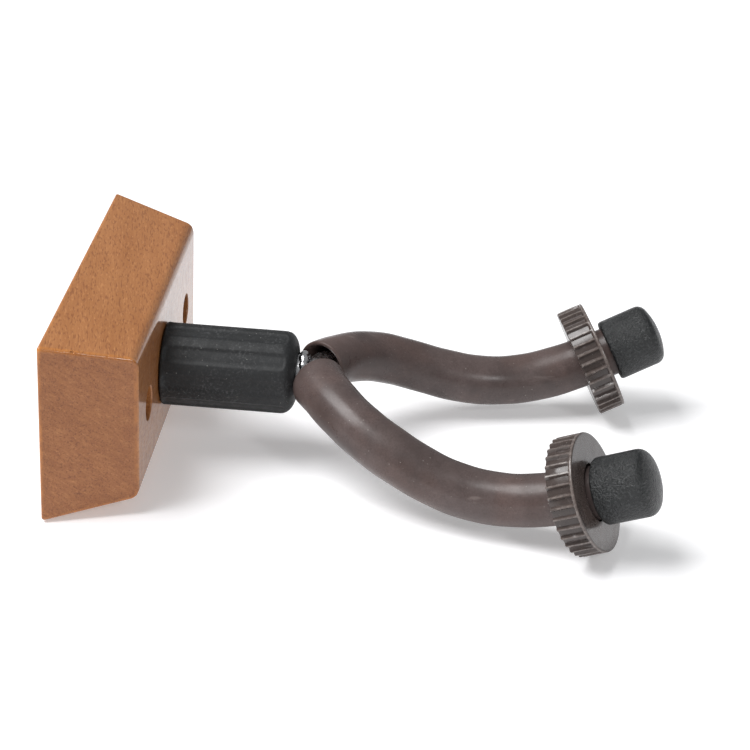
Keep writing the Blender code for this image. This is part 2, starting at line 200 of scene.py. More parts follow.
class Material:
    """A Principled material with short forms for its nodes. Coordinates are object millimetres."""

    def __init__(self, name):
        self.material = bpy.data.materials.new(name)
        self.material.use_nodes = True
        self.tree = self.material.node_tree
        self.shader = self.tree.nodes["Principled BSDF"]
        coordinates = self.tree.nodes.new("ShaderNodeTexCoord")
        self.place = self.mapping(coordinates.outputs["Object"], scale=(1 / MM,) * 3)

    def feed(self, socket, value):
        if isinstance(value, bpy.types.NodeSocket):
            self.tree.links.new(value, socket)
        else:
            socket.default_value = value

    def constant(self, **values):
        for name, value in values.items():
            self.shader.inputs[name.replace("_", " ")].default_value = value

    def mapping(self, vector, scale=(1, 1, 1), turn=(0, 0, 0)):
        node = self.tree.nodes.new("ShaderNodeMapping")
        self.feed(node.inputs["Vector"], vector)
        node.inputs["Scale"].default_value = scale
        node.inputs["Rotation"].default_value = [math.radians(angle) for angle in turn]
        return node.outputs["Vector"]

    def noise(self, size, vector=None, detail=2.0, roughness=0.5):
        """Noise from 0 to 1, with features about size millimetres across."""
        node = self.tree.nodes.new("ShaderNodeTexNoise")
        self.feed(node.inputs["Vector"], vector or self.place)
        node.inputs["Scale"].default_value = 1 / size
        node.inputs["Detail"].default_value = detail
        node.inputs["Roughness"].default_value = roughness
        return node.outputs["Fac"]

    def spots(self, size):
        """Distance to the nearest of a scatter of points about size millimetres apart."""
        node = self.tree.nodes.new("ShaderNodeTexVoronoi")
        self.feed(node.inputs["Vector"], self.place)
        node.inputs["Scale"].default_value = 1 / size
        return node.outputs["Distance"]

    def remap(self, value, low, high, to_low=0.0, to_high=1.0):
        node = self.tree.nodes.new("ShaderNodeMapRange")
        for index, given in enumerate((value, low, high, to_low, to_high)):
            self.feed(node.inputs[index], given)
        return node.outputs["Result"]

    def math(self, operation, first, second):
        node = self.tree.nodes.new("ShaderNodeMath")
        node.operation = operation
        self.feed(node.inputs[0], first)
        self.feed(node.inputs[1], second)
        return node.outputs["Value"]

    def mix(self, share, first, second, blend="MIX"):
        node = self.tree.nodes.new("ShaderNodeMix")
        node.data_type = "RGBA"
        node.blend_type = blend
        self.feed(node.inputs["Factor"], share)
        for name, value in (("A", first), ("B", second)):
            socket = [item for item in node.inputs if item.name == name and item.type == "RGBA"][0]
            self.feed(socket, value if isinstance(value, bpy.types.NodeSocket) else (*value, 1.0))
        return [item for item in node.outputs if item.type == "RGBA"][0]

    def bump(self, height, depth, strength=1.0, normal=None):
        """Bump whose full height range is depth millimetres."""
        node = self.tree.nodes.new("ShaderNodeBump")
        node.inputs["Strength"].default_value = strength
        node.inputs["Distance"].default_value = depth * MM
        self.feed(node.inputs["Height"], height)
        if normal:
            self.feed(node.inputs["Normal"], normal)
        return node.outputs["Normal"]

    def finish(self, colour, roughness, normal):
        self.feed(self.shader.inputs["Base Color"], colour)
        self.feed(self.shader.inputs["Roughness"], roughness)
        self.feed(self.shader.inputs["Normal"], normal)
        return self.material


# The wooden block, whose slopes can't be read from the frame's boxes.
BLOCK_WALL_LENGTH, BLOCK_WALL_HEIGHT = 118.6, 58.2
BLOCK_FRONT_LENGTH, BLOCK_FRONT_HEIGHT = 100.8, 46.6
BLOCK_DEPTH, BLOCK_OFFSET = 28.0, 5.8
BLOCK_SOFT_EDGE, BLOCK_EDGE = 3.2, 1.2
SCREW_PITCH, SCREW_HEAD, SCREW_HOLE, SCREW_FLOOR = 66.6, 5.2, 3.1, 16.0
NUT_POCKET, NUT_POCKET_DEPTH, SWIVEL_BORE = 13.0, 15.0, 5.6
EDGE_CHIPS = [(0.38, 1.1), (0.71, 0.8), (0.74, 0.5)]     # share of the way out, size
GRAIN_TURN = 11                 # degrees between the grain and the block's long side
SAW_TURN = 35                   # degrees between the saw's lines and the block's depth


def edge_closeness(wood, reach):
    """1 on the block's edges, fading to 0 at reach millimetres: how many of its faces are near."""
    slope_x = (BLOCK_WALL_LENGTH - BLOCK_FRONT_LENGTH) / 2
    slope_z = (BLOCK_WALL_HEIGHT - BLOCK_FRONT_HEIGHT) / 2
    faces = [((0, 1, 0), 0.0), ((0, -1, 0), BLOCK_DEPTH)]
    for sign in (-1, 1):
        across = Vector((sign * BLOCK_DEPTH, -slope_x, 0)).normalized()
        offset = across.dot(Vector((BLOCK_OFFSET + sign * BLOCK_WALL_LENGTH / 2, 0, 0)))
        faces.append((across, offset))
        upward = Vector((0, -slope_z, sign * BLOCK_DEPTH)).normalized()
        faces.append((upward, upward.dot(Vector((0, 0, sign * BLOCK_WALL_HEIGHT / 2)))))
    total = None
    for normal, offset in faces:
        node = wood.tree.nodes.new("ShaderNodeVectorMath")
        node.operation = "DOT_PRODUCT"
        wood.feed(node.inputs[0], wood.place)
        node.inputs[1].default_value = normal
        near = wood.remap(node.outputs["Value"], offset - reach, offset)
        total = near if total is None else wood.math("ADD", total, near)
    return wood.remap(total, 1.15, 1.9)


def end_grain(wood):
    """1 on the block's two short sides, where the saw crossed the grain, and 0 elsewhere."""
    slope = (BLOCK_WALL_LENGTH - BLOCK_FRONT_LENGTH) / 2
    from_middle = wood.tree.nodes.new("ShaderNodeSeparateXYZ")
    wood.feed(from_middle.inputs[0], wood.place)
    across = wood.math("ABSOLUTE", wood.math("SUBTRACT", from_middle.outputs["X"], BLOCK_OFFSET), 0.0)
    taper = wood.math("MULTIPLY", from_middle.outputs["Y"], slope / BLOCK_DEPTH)
    inset = wood.math("SUBTRACT", wood.math("ADD", BLOCK_WALL_LENGTH / 2, taper), across)
    return wood.remap(inset, 0.2, 0.5, 1.0, 0.0)


def beech():
    """Honey coloured beech under clear lacquer, with the short dark flecks of its rays and a painted
    highlight along its edges.
    """
    wood = Material("lacquered_beech")
    along = wood.mapping(wood.place, turn=(0, 0, -GRAIN_TURN))
    tone = wood.noise(9, wood.mapping(along, scale=(0.16, 1, 1)), detail=4, roughness=0.6)
    colour = wood.mix(wood.remap(tone, 0.3, 0.7), (0.365, 0.148, 0.047), (0.465, 0.203, 0.074))
    cloud = wood.noise(34, detail=2)
    colour = wood.mix(wood.remap(cloud, 0.35, 0.7, 0, 0.3), colour, (0.31, 0.108, 0.033))
    fibre = wood.noise(0.55, wood.mapping(along, scale=(0.05, 1, 1)), detail=3, roughness=0.65)
    colour = wood.mix(wood.remap(fibre, 0.35, 0.75, 0, 0.35), colour, (0.25, 0.076, 0.024))
    fleck_noise = wood.noise(0.5, wood.mapping(along, scale=(0.2, 1, 1)), detail=1, roughness=0.4)
    fleck = wood.remap(fleck_noise, 0.56, 0.66)
    colour = wood.mix(wood.math("MULTIPLY", fleck, 0.47), colour, (0.17, 0.052, 0.019))
    glow = wood.remap(wood.noise(0.6, wood.mapping(along, scale=(0.25, 1, 1))), 0.56, 0.70, 0, 0.35)
    colour = wood.mix(glow, colour, (0.62, 0.285, 0.11))
    end = end_grain(wood)
    sawn = wood.mapping(wood.place, turn=(-SAW_TURN, 0, 0))
    saw_lines = wood.noise(0.8, wood.mapping(sawn, scale=(1, 0.06, 1)), detail=3)
    marked = wood.mix(wood.remap(saw_lines, 0.45, 0.66, 0, 0.55), (0.72, 0.62, 0.53), (1.0, 0.95, 0.85))
    colour = wood.mix(end, colour, marked, "MULTIPLY")
    # Painted highlight: the block's edges are lightened towards orange where the rounded lacquer would
    # catch the light, broken up by noise.
    highlight_breakup = wood.remap(wood.noise(4), 0.35, 0.65, 0.1, 0.8)
    edge_highlight = wood.math("MULTIPLY", edge_closeness(wood, 1.7), highlight_breakup)
    colour = wood.mix(edge_highlight, colour, (0.60, 0.225, 0.05))
    roughness = wood.remap(wood.noise(3.5, detail=4), 0.3, 0.7, 0.34, 0.5)
    grain = wood.bump(fibre, 0.03, 0.5)
    normal = wood.bump(fleck, -0.05, 0.6, grain)
    wood.constant(Coat_Weight=0.8, Coat_Roughness=0.12, Coat_IOR=1.42, Specular_IOR_Level=0.15)
    waves = wood.bump(wood.noise(6, detail=1), 0.035, 0.35)
    wood.feed(wood.shader.inputs["Coat Normal"], waves)
    return wood.finish(colour, roughness, normal)


def dust(surface, size, share):
    """Small light specks scattered over a surface, from 0 to 1."""
    near = surface.remap(surface.spots(size), 0.03, 0.09, 1.0, 0.0)
    chosen = surface.remap(surface.noise(size * 2.3, detail=0), share, share + 0.04)
    return surface.math("MULTIPLY", near, chosen)


def brown_rubber():
    """Satin brown rubber tubing with handling marks."""
    rubber = Material("brown_satin_rubber")
    tone = rubber.noise(14, detail=4, roughness=0.6)
    colour = rubber.mix(rubber.remap(tone, 0.35, 0.68), (0.074, 0.056, 0.053), (0.122, 0.092, 0.087))
    warm = rubber.remap(rubber.noise(20, detail=3), 0.48, 0.66, 0, 0.45)
    colour = rubber.mix(warm, colour, (0.128, 0.079, 0.067))
    fine = rubber.noise(0.6, detail=3, roughness=0.7)
    colour = rubber.mix(rubber.remap(fine, 0.4, 0.75, 0, 0.55), colour, (0.052, 0.038, 0.034))
    along = rubber.mapping(rubber.place, scale=(1, 0.12, 1), turn=(20, 0, 35))
    scuff_lines = rubber.noise(2.4, along, detail=3)
    scuff = rubber.math("MULTIPLY", rubber.remap(scuff_lines, 0.64, 0.70),
                        rubber.remap(rubber.noise(11), 0.5, 0.62))
    colour = rubber.mix(rubber.math("MULTIPLY", scuff, 0.35), colour, (0.23, 0.19, 0.175))
    specks = dust(rubber, 1.8, 0.46)
    colour = rubber.mix(rubber.math("MULTIPLY", specks, 0.85), colour, (0.42, 0.38, 0.35))
    smear = rubber.noise(8, detail=5, roughness=0.65)
    roughness = rubber.remap(smear, 0.3, 0.7, 0.22, 0.40)
    normal = rubber.bump(fine, 0.03, 0.6)
    normal = rubber.bump(rubber.noise(5, detail=2), 0.09, 0.4, normal)
    rubber.constant(Specular_IOR_Level=0.28)
    return rubber.finish(colour, roughness, normal)


def ring_rubber():
    """The harder brown moulding of the stop rings, smoother on its face, with painted shade between its
    ribs and a painted highlight on their crests.
    """
    rubber = Material("brown_moulded_rubber")
    tone = rubber.noise(5, detail=4, roughness=0.65)
    colour = rubber.mix(rubber.remap(tone, 0.35, 0.68), (0.060, 0.046, 0.042), (0.088, 0.066, 0.059))
    fine = rubber.noise(0.4, detail=3, roughness=0.7)
    colour = rubber.mix(rubber.remap(fine, 0.42, 0.75, 0, 0.5), colour, (0.12, 0.098, 0.088))
    radius = rubber.tree.nodes.new("ShaderNodeVectorMath")
    radius.operation = "LENGTH"
    rubber.feed(radius.inputs[0], rubber.mapping(rubber.place, scale=(1, 1, 0)))
    from_axis = radius.outputs["Value"]
    # Painted shade: the roots between the rim's ribs are darkened, as if shadowed.
    valley_shade = rubber.math("MULTIPLY", rubber.remap(from_axis, 17.0, 17.5, 1, 0),
                         rubber.remap(from_axis, 16.8, 17.0))
    colour = rubber.mix(rubber.math("MULTIPLY", valley_shade, 0.45), colour, (0.03, 0.022, 0.02))
    # Painted highlight: the rib crests are lightened, broken up by noise.
    highlight_breakup = rubber.remap(rubber.noise(1.3, detail=3, roughness=0.65), 0.38, 0.62, 0.1, 0.75)
    crest = rubber.math("MULTIPLY", rubber.remap(from_axis, 17.75, 17.95), highlight_breakup)
    colour = rubber.mix(crest, colour, (0.22, 0.185, 0.168))
    colour = rubber.mix(rubber.math("MULTIPLY", dust(rubber, 1.6, 0.52), 0.7), colour, (0.4, 0.36, 0.33))
    roughness = rubber.remap(rubber.noise(2.5, detail=4), 0.3, 0.7, 0.14, 0.3)
    normal = rubber.bump(fine, 0.02, 0.4)
    rubber.constant(Specular_IOR_Level=0.5)
    return rubber.finish(colour, roughness, normal)


def grained_rubber():
    """Black rubber of the end caps, with the fine grain of a spark-eroded mould."""
    rubber = Material("black_grained_rubber")
    grain = rubber.noise(0.75, detail=3, roughness=0.65)
    tone = rubber.noise(6, detail=3)
    colour = rubber.mix(rubber.remap(tone, 0.35, 0.7), (0.008, 0.009, 0.0095), (0.015, 0.0165, 0.017))
    peaks = rubber.remap(grain, 0.52, 0.7, 0, 0.5)
    colour = rubber.mix(peaks, colour, (0.08, 0.085, 0.085))
    colour = rubber.mix(rubber.math("MULTIPLY", dust(rubber, 1.3, 0.6), 0.6), colour, (0.4, 0.4, 0.38))
    roughness = rubber.remap(rubber.noise(1.8, detail=3), 0.3, 0.7, 0.27, 0.42)
    normal = rubber.bump(grain, 0.6, 1.0)
    rubber.constant(Specular_IOR_Level=0.5)
    return rubber.finish(colour, roughness, normal)


def barrel_rubber():
    """Black satin moulding of the barrel, with faint flow marks and a little dust."""
    rubber = Material("black_barrel_moulding")
    flow = rubber.noise(7, rubber.mapping(rubber.place, scale=(1, 0.2, 1)), detail=4, roughness=0.6)
    colour = rubber.mix(rubber.remap(flow, 0.35, 0.68), (0.011, 0.0117, 0.0123), (0.018, 0.0192, 0.0203))
    fine = rubber.noise(0.5, detail=3, roughness=0.65)
    colour = rubber.mix(rubber.remap(fine, 0.5, 0.8, 0, 0.4), colour, (0.05, 0.051, 0.052))
    chalk = rubber.math("MULTIPLY", rubber.remap(rubber.noise(0.9, detail=3, roughness=0.7), 0.52, 0.68),
                        rubber.remap(rubber.noise(13, detail=1), 0.45, 0.6, 0.15, 0.6))
    colour = rubber.mix(chalk, colour, (0.085, 0.087, 0.09))
    colour = rubber.mix(rubber.math("MULTIPLY", dust(rubber, 1.8, 0.5), 0.7), colour, (0.42, 0.42, 0.4))
    roughness = rubber.remap(rubber.noise(3, detail=4), 0.3, 0.7, 0.52, 0.68)
    normal = rubber.bump(fine, 0.08, 0.7)
    rubber.constant(Specular_IOR_Level=0.34)
    return rubber.finish(colour, roughness, normal)


def plated_steel(name, colour, grime):
    """Bright plated steel with drawn streaks and thin patches of grime."""
    steel = Material(name)
    streak = steel.noise(0.5, steel.mapping(steel.place, scale=(1, 0.08, 1)), detail=3)
    shade = steel.mix(steel.remap(streak, 0.35, 0.7), colour, [value * 0.82 for value in colour])
    patches = steel.remap(steel.noise(1.8, detail=4, roughness=0.7), 0.52, 0.68, 0, grime)
    shade = steel.mix(patches, shade, (0.16, 0.15, 0.14))
    roughness = steel.remap(steel.noise(1.2, detail=4), 0.3, 0.7, 0.14, 0.34)
    steel.constant(Metallic=1.0)
    return steel.finish(shade, roughness, steel.bump(streak, 0.012, 0.5))


def nylon():
    plastic = Material("natural_nylon")
    cloud = plastic.noise(2.5, detail=3)
    colour = plastic.mix(plastic.remap(cloud, 0.35, 0.7), (0.74, 0.73, 0.67), (0.83, 0.82, 0.78))
    roughness = plastic.remap(plastic.noise(0.8, detail=2), 0.3, 0.7, 0.38, 0.55)
    plastic.constant(Subsurface_Weight=0.12, Subsurface_Scale=0.002)
    return plastic.finish(colour, roughness, plastic.bump(cloud, 0.02, 0.4))


# Pieces.

def cut(piece, bm, name):
    """Subtract a closed bmesh from a piece, and drop the cutter again."""
    cutter = add_piece(name, bm, piece.data.materials[0])
    modifier = piece.modifiers.new(name, "BOOLEAN")
    modifier.operation = "DIFFERENCE"
    modifier.object = cutter
    apply_modifiers(piece)
    bpy.data.objects.remove(cutter)


def apply_modifiers(piece):
    bpy.context.view_layer.update()
    evaluated = piece.evaluated_get(bpy.context.evaluated_depsgraph_get())
    mesh = bpy.data.meshes.new_from_object(evaluated)
    piece.modifiers.clear()
    old = piece.data
    piece.data = mesh
    bpy.data.meshes.remove(old)


def moved(bm, across):
    bmesh.ops.translate(bm, vec=(across, 0, 0), verts=bm.verts)
    return bm


def wood_block(material):
    """The block, with its rounded edges, two screw pockets and the stepped swivel bore."""
    sections = []
    for length, height, out in ((BLOCK_WALL_LENGTH, BLOCK_WALL_HEIGHT, 0),
                                (BLOCK_FRONT_LENGTH, BLOCK_FRONT_HEIGHT, BLOCK_DEPTH)):
        low, high = BLOCK_OFFSET - length / 2, BLOCK_OFFSET + length / 2
        sections.append([(low, -out, -height / 2), (high, -out, -height / 2),
                         (high, -out, height / 2), (low, -out, height / 2)])
    bm = loft(sections)
    weights = bm.edges.layers.float.new("bevel_weight_edge")
    for edge in bm.edges:
        ends = [vertex.co for vertex in edge.verts]
        at_front = all(abs(end[1] + BLOCK_DEPTH) < 0.01 for end in ends)
        lengthwise = abs(ends[0][0] - ends[1][0]) > BLOCK_FRONT_LENGTH / 2
        edge[weights] = 1.0 if at_front and lengthwise else BLOCK_EDGE / BLOCK_SOFT_EDGE
    block = add_piece("wood_block", bm, material, crease=40)
    bevel = block.modifiers.new("rounded edges", "BEVEL")
    bevel.limit_method = "WEIGHT"
    bevel.width = BLOCK_SOFT_EDGE * MM
    bevel.segments = 8
    apply_modifiers(block)
    past, lip = 1.5, 0.5
    mouth = BLOCK_DEPTH
    pocket = [(SCREW_HOLE, -past), (SCREW_HOLE, SCREW_FLOOR), (SCREW_HEAD, SCREW_FLOOR),
              (SCREW_HEAD, mouth - lip), (SCREW_HEAD + lip * 0.3, mouth - lip * 0.3),
              (SCREW_HEAD + lip + past, mouth + past)]
    for side in (LEFT, RIGHT):
        cut(block, moved(solid_turned(pocket, 64), BLOCK_OFFSET + side * SCREW_PITCH / 2), "screw_pocket")
    swivel = [(NUT_POCKET + lip + past, -past), (NUT_POCKET + lip * 0.3, lip * 0.3), (NUT_POCKET, lip),
              (NUT_POCKET, NUT_POCKET_DEPTH), (SWIVEL_BORE, NUT_POCKET_DEPTH), (SWIVEL_BORE, mouth + past)]
    cut(block, solid_turned(swivel), "swivel_bore")
    for along, size in EDGE_CHIPS:
        chip_block(block, along, size)
    block.data.shade_smooth()
    block.data.set_sharp_from_angle(angle=math.radians(30))
    weighted = block.modifiers.new("even shading", "WEIGHTED_NORMAL")
    weighted.keep_sharp = True
    apply_modifiers(block)
    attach(block, "base")
    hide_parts("base_block")


def chip_block(block, along, size):
    """A small chip out of the block's upper left edge, at a share of the way from the wall."""
    length = BLOCK_WALL_LENGTH + (BLOCK_FRONT_LENGTH - BLOCK_WALL_LENGTH) * along
    height = BLOCK_WALL_HEIGHT + (BLOCK_FRONT_HEIGHT - BLOCK_WALL_HEIGHT) * along
    bm = bmesh.new()
    bmesh.ops.create_icosphere(bm, subdivisions=3, radius=size)
    for vertex in bm.verts:
        ripple = math.sin(vertex.co.x * 7 + along * 40) * math.sin(vertex.co.y * 9 - along * 25)
        vertex.co *= 1 + 0.16 * ripple
    bmesh.ops.scale(bm, vec=(1, 1.5, 1), verts=bm.verts)
    place = (BLOCK_OFFSET - length / 2 - size * 0.25, -BLOCK_DEPTH * along, height / 2 + size * 0.22)
    bmesh.ops.translate(bm, vec=place, verts=bm.verts)
    cut(block, bm, "edge_chip")


SHOULDER = 64.1                 # where the shank's collar meets the bearing tube
BARREL_BACK, BARREL_END, BARREL_RADIUS = 28.3, 69.8, 13.0
BARREL_MOUTH, BARREL_WAIST, BARREL_HOLLOW = 6.4, 8.8, 10.4
NOSE_LENGTH, MOUTH_FACE_RADIUS = 4.4, 7.2
FLUTE_COUNT, FLUTE_DEPTH, FLUTE_SHARE = 9, 0.6, 0.62
FLUTE_RUN, FLUTE_OVER_NOSE = 2.2, 1.7


def barrel_radius(turn, out):
    """Outer radius at an angle and a distance out: lands, round-ended flutes and the nose."""
    nose_start = BARREL_END - NOSE_LENGTH
    share = min(1.0, max(0.0, (out - nose_start) / NOSE_LENGTH))
    plain = MOUTH_FACE_RADIUS + (BARREL_RADIUS - MOUTH_FACE_RADIUS) * math.sqrt(1 - share * share)
    pitch = 2 * math.pi / FLUTE_COUNT
    across = abs((turn / pitch) % 1.0 - 0.5) / (FLUTE_SHARE / 2)
    from_end = min(nose_start + FLUTE_OVER_NOSE - out, out - BARREL_BACK - 0.6)
    reach = across ** 3 + max(0.0, 1 - from_end / FLUTE_RUN) ** 3
    return plain - FLUTE_DEPTH * (1 - min(1.0, reach) ** 1.8) ** 1.5


def barrel(material):
    nose_start = BARREL_END - NOSE_LENGTH
    outs = spaced(BARREL_BACK + 0.5, BARREL_BACK + 3.6, 0.3)
    outs += spaced(BARREL_BACK + 4.2, nose_start - 3.4, 2)
    outs += spaced(nose_start - 3, nose_start, 0.25)
    outs += [nose_start + NOSE_LENGTH * math.sin(math.radians(angle)) for angle in range(3, 91, 3)]
    count = FLUTE_COUNT * 28
    turns = [2 * math.pi * step / count for step in range(count)]
    rear = [(BARREL_RADIUS - 0.5, BARREL_BACK), (BARREL_RADIUS - 0.15, BARREL_BACK + 0.12)]
    sections = turned_sections(rear, count)
    for out in outs:
        radii = [barrel_radius(turn, out) for turn in turns]
        sections.append([(radius * math.cos(turn), -out, radius * math.sin(turn))
                         for radius, turn in zip(radii, turns)])
    inner = [(BARREL_MOUTH + 0.5, BARREL_END), (BARREL_MOUTH + 0.1, BARREL_END - 0.15),
             (BARREL_MOUTH, BARREL_END - 0.5), (BARREL_MOUTH, SHOULDER), (BARREL_WAIST, SHOULDER),
             (BARREL_WAIST, SHOULDER - 6), (BARREL_HOLLOW, SHOULDER - 10), (BARREL_HOLLOW, BARREL_BACK)]
    sections += turned_sections(inner, count)
    piece = add_piece("barrel", loft(sections, closed=True), material, crease=60)
    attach(piece, "base")
    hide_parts("barrel_cover")


def yoke_metal(steel):
    """The bent rod, the stepped and threaded shank, and the rippled weld between them."""
    rod_radius, bevel = 4.5, 0.6
    arm = Arm(RIGHT)
    end = arm.length - ROD_END
    distances = spaced(0, end - bevel, 1.2) + [end - bevel * 0.3, end]
    radii = [rod_radius] * (len(distances) - 2) + [rod_radius - bevel * 0.3, rod_radius - bevel]
    stations = [arm.at(distance) for distance in distances]
    mirrored = [Vector((-point.x, point.y, point.z)) for point in reversed(stations[1:])]
    sections = swept(mirrored + stations, radii[:0:-1] + radii, 48)
    rod = add_piece("bent_rod", loft(sections), steel)
    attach(rod, "yoke")
    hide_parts("yoke_rod")

    back, front = 1.2, 71.6
    root, crest, pitch, thread_turns = 4.2, 4.85, 1.5, 12.5
    journal, collar = 5.0, 6.0
    segments = 48
    thread_end = back + pitch * thread_turns
    sections = turned_sections([(root - 0.7, back), (root, back + 0.5)], segments)
    for out in spaced(back + 0.6, thread_end, pitch / 10):
        fade = min(1.0, (out - back - 0.6) / pitch, (thread_end - out) / pitch)
        ring = []
        for step in range(segments):
            phase = (out / pitch + step / segments) % 1.0
            height = 1 - abs(2 * phase - 1)
            radius = root + (crest - root) * min(1.0, height * 1.25) * max(0.0, fade)
            turn = 2 * math.pi * step / segments
            ring.append((radius * math.cos(turn), -out, radius * math.sin(turn)))
        sections.append(ring)
    plain = [(root, thread_end + 0.2), (journal, thread_end + 0.9), (journal, SHOULDER),
             (collar - 0.3, SHOULDER), (collar, SHOULDER + 0.3), (collar, front - 0.5),
             (collar - 0.4, front)]
    sections += turned_sections(plain, segments)
    shank = add_piece("threaded_shank", loft(sections), steel)
    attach(shank, "yoke")
    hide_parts("yoke_shank")

    count = 144
    bead = []
    for angle in range(0, 360, 15):
        ring = []
        for step in range(count):
            turn = 2 * math.pi * step / count
            ripple = 0.16 * math.sin(turn * 15 + math.sin(turn * 2)) + 0.1 * math.sin(turn * 4 + 1)
            thick = 1.35 + ripple
            radius = 6.0 + thick * 0.9 * math.cos(math.radians(angle))
            out = 71.9 + 0.15 * math.sin(turn * 3) + thick * math.sin(math.radians(angle))
            ring.append((radius * math.cos(turn), -out, radius * math.sin(turn)))
        bead.append(ring)
    weld = add_piece("weld_ripple", loft(bead, closed=True), steel, crease=80)
    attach(weld, "yoke")
    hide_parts("weld_bead")


def clamping_hardware(zinc, plastic):
    """Washers and lock nut in the pocket at the block's back."""
    washer = add_piece("plain_washer", hollow_turned(soft_corners(
        [(5.3, 13.2), (11.0, 13.2), (11.0, 14.7), (5.3, 14.7)], 0.3)), zinc)
    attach(washer, "base")
    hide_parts("flat_washer")

    outline = soft_corners([(5.35, 10.9), (8.9, 10.9), (8.9, 12.9), (5.35, 12.9)], 0.3)
    sections = []
    for step in range(91):
        turn = math.radians(345) * step / 90
        rise = 0.25 * (step / 90 - 0.5)
        sections.append([(radius * math.cos(turn), -(out + rise), radius * math.sin(turn))
                         for radius, out in outline])
    split = add_piece("split_washer", loft(sections), zinc)
    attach(split, "yoke")
    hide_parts("spring_washer")

    flat, seat, top, end = 8.5, 4.9, 10.6, 2.1
    corner = flat / math.cos(math.radians(30))
    blank = [(5.15, top), (5.15, seat), (6.6, seat), (6.6, end + 0.5), (6.0, end), (7.0, end),
             (7.5, end + 0.4), (7.6, seat - 0.4), (flat - 0.2, seat), (corner + 0.3, seat + 0.8),
             (corner + 0.3, top - 0.7), (flat, top)]
    nut = add_piece("hex_lock_nut", hollow_turned(blank), zinc, crease=25)
    hexagon = add_piece("hexagon", solid_turned([(corner, end - 2), (corner, top + 2)], 6), zinc)
    modifier = nut.modifiers.new("six flats", "BOOLEAN")
    modifier.operation = "INTERSECT"
    modifier.object = hexagon
    apply_modifiers(nut)
    bpy.data.objects.remove(hexagon)
    nut.data.set_sharp_from_angle(angle=math.radians(25))
    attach(nut, "yoke")
    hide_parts("lock_nut")

    insert = add_piece("nut_nylon_ring", hollow_turned(soft_corners(
        [(5.0, 2.6), (6.4, 2.6), (6.4, 4.6), (5.0, 4.6)], 0.3)), plastic)
    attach(insert, "yoke")
    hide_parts("nut_insert")


def sleeve(side, name, material):
    """Thick tube over the rod, with a slightly belled, slanted and softened mouth."""
    arm = Arm(side)
    start, end = SLEEVE_START, arm.length - SLEEVE_END
    outer_radius, mouth_radius, bore, mouth_bore = 8.05, 8.55, 4.8, 7.3
    mouth_depth, slant = 7.0, 1.9
    distances = [start, start + 0.1, start + 0.25, start + 0.45] + spaced(start + 1, end, 1.3)
    stations = [arm.at(distance) for distance in distances]
    soft = [0.3, 0.13, 0.04, 0.0]
    outer, inner = [], []
    for distance in distances:
        waver = 0.05 * math.sin(distance * 0.21 + side) + 0.035 * math.sin(distance * 0.53 + 2 * side)
        bell = max(0.0, 1 - (distance - start) / mouth_depth)
        outer.append(outer_radius + waver + (mouth_radius - outer_radius) * bell ** 1.2)
        inner.append(bore + (mouth_bore - bore) * bell)
    for index, rounding in enumerate(soft):
        outer[index] -= rounding
        inner[index] += rounding
    outside, inside = swept(stations, outer, 72), swept(stations, inner, 72)
    heading = (stations[3] - stations[0]).normalized()
    wallward = Vector((0, 1, 0))
    wallward = (wallward - heading * wallward.dot(heading)).normalized()
    for sections in (outside, inside):
        for section, station, distance in zip(sections, stations, distances):
            bell = max(0.0, 1 - (distance - start) / mouth_depth)
            for point in section:
                lead = (1 - (point - station).dot(wallward) / mouth_radius) / 2
                point -= heading * slant * bell * lead
    sections = outside + inside[::-1]
    piece = add_piece("padded_sleeve_" + name, loft(sections, closed=True), material, crease=60)
    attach(piece, "yoke")
    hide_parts("sleeve_" + name)


def stop_ring(side, name, material):
    """Disc with thin ribs round its rim, which die out at a smooth lip in front."""
    radius, root, bore, thickness, lip, ribs = 18.0, 17.1, 8.5, 8.7, 0.9, 34
    half = thickness / 2
    per_rib = 14
    count = ribs * per_rib
    rib_half, rib_slope = 0.085, 0.09

    def rim(step, share, level):
        """Radius of the rim at a step round it. share runs from 0, plain root, to 1, full rib."""
        phase = abs((step % per_rib) / per_rib - 0.5)
        rib = min(1.0, max(0.0, (rib_half + rib_slope - phase) / rib_slope))
        uneven = 0.06 * math.sin(step / per_rib * 2.4 + level)
        return root + (radius - root + uneven * rib) * rib * share

    levels = [(-half, 0.5, 0.4), (-half + 0.12, 0.8, 0.12), (-half + 0.4, 1.0, 0.0), (0.0, 1.0, 0.0),
              (half - lip - 0.5, 1.0, 0.0)]
    turns = [2 * math.pi * step / count for step in range(count)]
    sections = []
    for level, share, inset in levels:
        radii = [rim(step, share, level) - inset for step in range(count)]
        sections.append([(value * math.cos(turn), value * math.sin(turn), level)
                         for value, turn in zip(radii, turns)])
    plain = [(radius - 0.12, half - lip), (radius, half - lip + 0.25), (radius, half - 0.4),
             (radius - 0.12, half - 0.12), (radius - 0.4, half), (radius - 0.8, half), (bore + 0.8, half),
             (bore + 0.4, half), (bore, half - 0.4), (bore, -half + 0.4), (bore + 0.4, -half),
             (bore + 0.8, -half), (root - 0.8, -half)]
    for value, level in plain:
        sections.append([(value * math.cos(turn), value * math.sin(turn), level) for turn in turns])
    placement = Arm(side).end_frame(RING_CENTRE[side])
    piece = add_piece("ribbed_stop_ring_" + name, loft(sections, closed=True), material, 42, placement)
    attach(piece, name + "_ring")
    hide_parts("ring_" + name)


